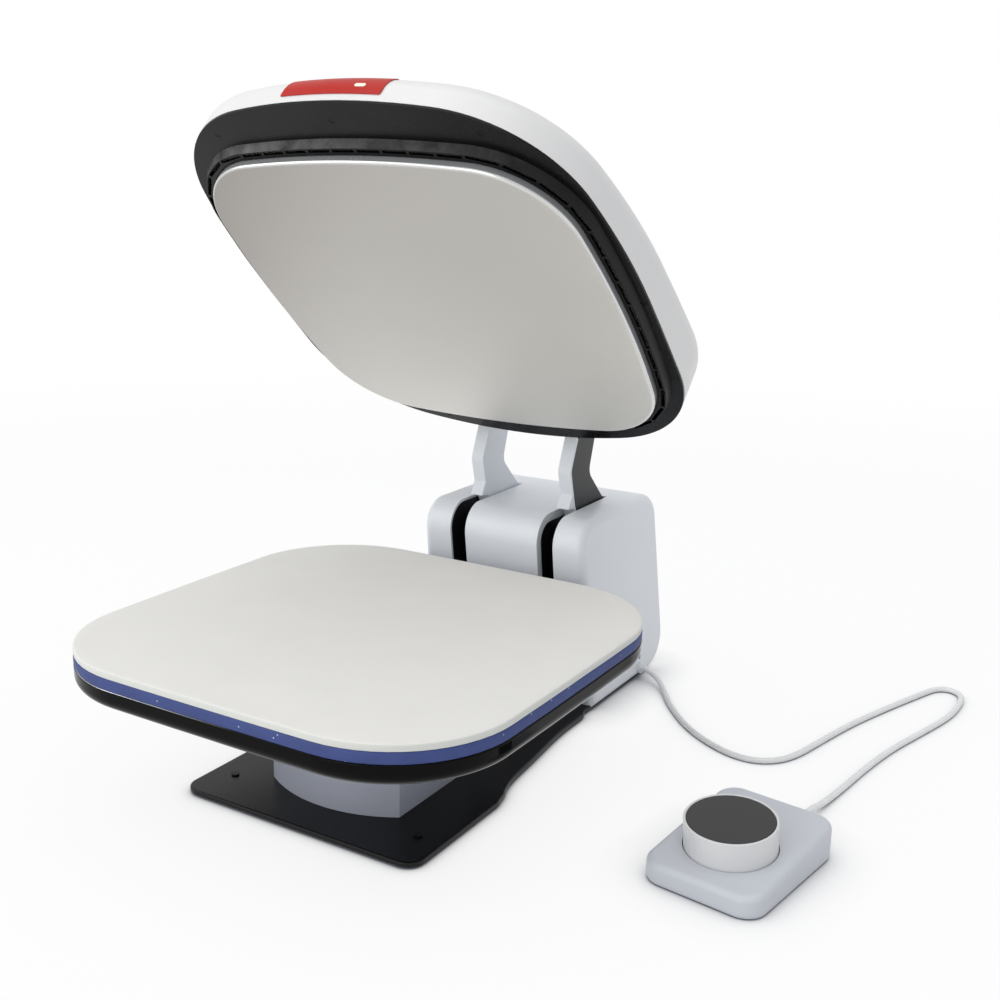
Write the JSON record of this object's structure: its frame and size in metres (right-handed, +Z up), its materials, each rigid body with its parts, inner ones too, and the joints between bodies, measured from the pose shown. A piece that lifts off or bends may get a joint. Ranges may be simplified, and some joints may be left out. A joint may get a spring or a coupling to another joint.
{
  "type": "flat heat press",
  "caption": "Flat heat press with a padded lower platen on a pedestal, a heated head that tilts on gooseneck arms, a rear drive tower and a dial controller on a lead.",
  "frame": {"origin": "on the floor under the middle of the lower platen, at the middle foot", "axes": "+Z up, +Y from the user towards the rear tower, +X to the right of someone who faces the press"},
  "size_m": [0.6244, 0.7311, 0.6074],
  "materials": {
    "pad_white": "matte, lightly crimped felt",
    "silicone_blue": "matte silicone",
    "tray_black": "gloss black",
    "base_white": "satin light grey paint",
    "base_black": "gloss black paint",
    "screw_black": "black oxide",
    "tower_grey": "fine satin moulding",
    "liner_black": "satin",
    "cover_white": "soft gloss",
    "bezel_black": "satin heat-resistant plastic",
    "plate_coated": "ground and coated, satin",
    "steel": "plain",
    "zinc": "zinc plated",
    "arm_steel": "black satin coat",
    "arm_cover": "satin",
    "brass": "sintered",
    "gear_steel": "cut teeth",
    "insulation": "mineral board",
    "red_tag": "soft gloss",
    "window": "milky",
    "rubber_dark": "matte",
    "board_green": "solder mask",
    "case_grey": "soft gloss",
    "dial_white": "soft gloss",
    "display_black": "dark cover glass",
    "lead_white": "smooth sheath"
  },
  "bodies": {
    "base": {"base_plate": "base_black", "rubber_feet": "rubber_dark", "foot_screws": "zinc", "pedestal_shell": "base_white", "pedestal_column": "steel", "lower_tray": "tray_black", "tray_screws": "zinc", "silicone_pad": "silicone_blue", "top_pad": "pad_white", "tower_shell": "tower_grey", "slot_liner_left": "liner_black", "slot_liner_right": "liner_black", "tower_frame": "steel", "frame_bolts": "zinc", "shaft_bushes": "brass", "motor_bracket": "steel", "gear_motor": "zinc", "motor_screws": "zinc", "control_board": "board_green", "power_inlet": "liner_black", "inlet_screws": "zinc", "power_switch": "liner_black", "lead_gland": "tower_grey", "controller_case": "case_grey", "controller_bottom": "case_grey", "controller_feet": "rubber_dark", "controller_board": "board_green", "dial_seat": "case_grey", "lead_relief": "lead_white", "control_lead": "lead_white"},
    "head": {"head_cover": "cover_white", "head_bezel": "bezel_black", "bezel_screws": "screw_black", "heat_plate": "plate_coated", "heating_element": "steel", "insulation_board": "insulation", "plate_studs": "steel", "stud_nuts": "zinc", "temperature_sensor": "steel", "carrier_frame": "steel", "arm_plate_left": "arm_steel", "arm_plate_right": "arm_steel", "arm_cover_left": "arm_cover", "arm_cover_right": "arm_cover", "arm_bolts": "zinc", "accent_tag": "red_tag", "led_window": "window", "hinge_shaft": "steel", "shaft_spacers": "zinc", "sector_gear": "gear_steel"},
    "pinion": {"drive_pinion": "gear_steel"},
    "rocker": {"power_rocker": "liner_black"},
    "dial": {"dial_ring": "dial_white"},
    "button": {"dial_display": "display_black", "press_plunger": "liner_black"}
  },
  "joints": [
    {"name": "head_tilt", "type": "hinge", "parent": "base", "child": "head", "pos_m": [0, 0.3885, 0.152], "axis": [1, 0, 0], "range_deg": [0, 43.2]},
    {"name": "pinion_spin", "type": "hinge", "parent": "base", "child": "pinion", "pos_m": [0, 0.32744, 0.11385], "axis": [1, 0, 0], "range_deg": [-151.2, 0]},
    {"name": "power_rocker", "type": "hinge", "parent": "base", "child": "rocker", "pos_m": [0.026, 0.42293, 0.06785], "axis": [1, 0, 0], "range_deg": [0, 16]},
    {"name": "dial_turn", "type": "hinge", "parent": "base", "child": "dial", "pos_m": [0.33019, 0.03484, 0.02381], "axis": [-0.0126, -0.0933, 0.9956], "continuous": true},
    {"name": "dial_press", "type": "slide", "parent": "base", "child": "button", "axis": [0.0126, 0.0933, -0.9956], "range_m": [0, 0.0012], "stiffness_N_per_m": 500, "springref_m": -0.002}
  ],
  "couplings": [
    {"joint": "pinion_spin", "follows": "head_tilt", "ratio": -3.5}
  ]
}
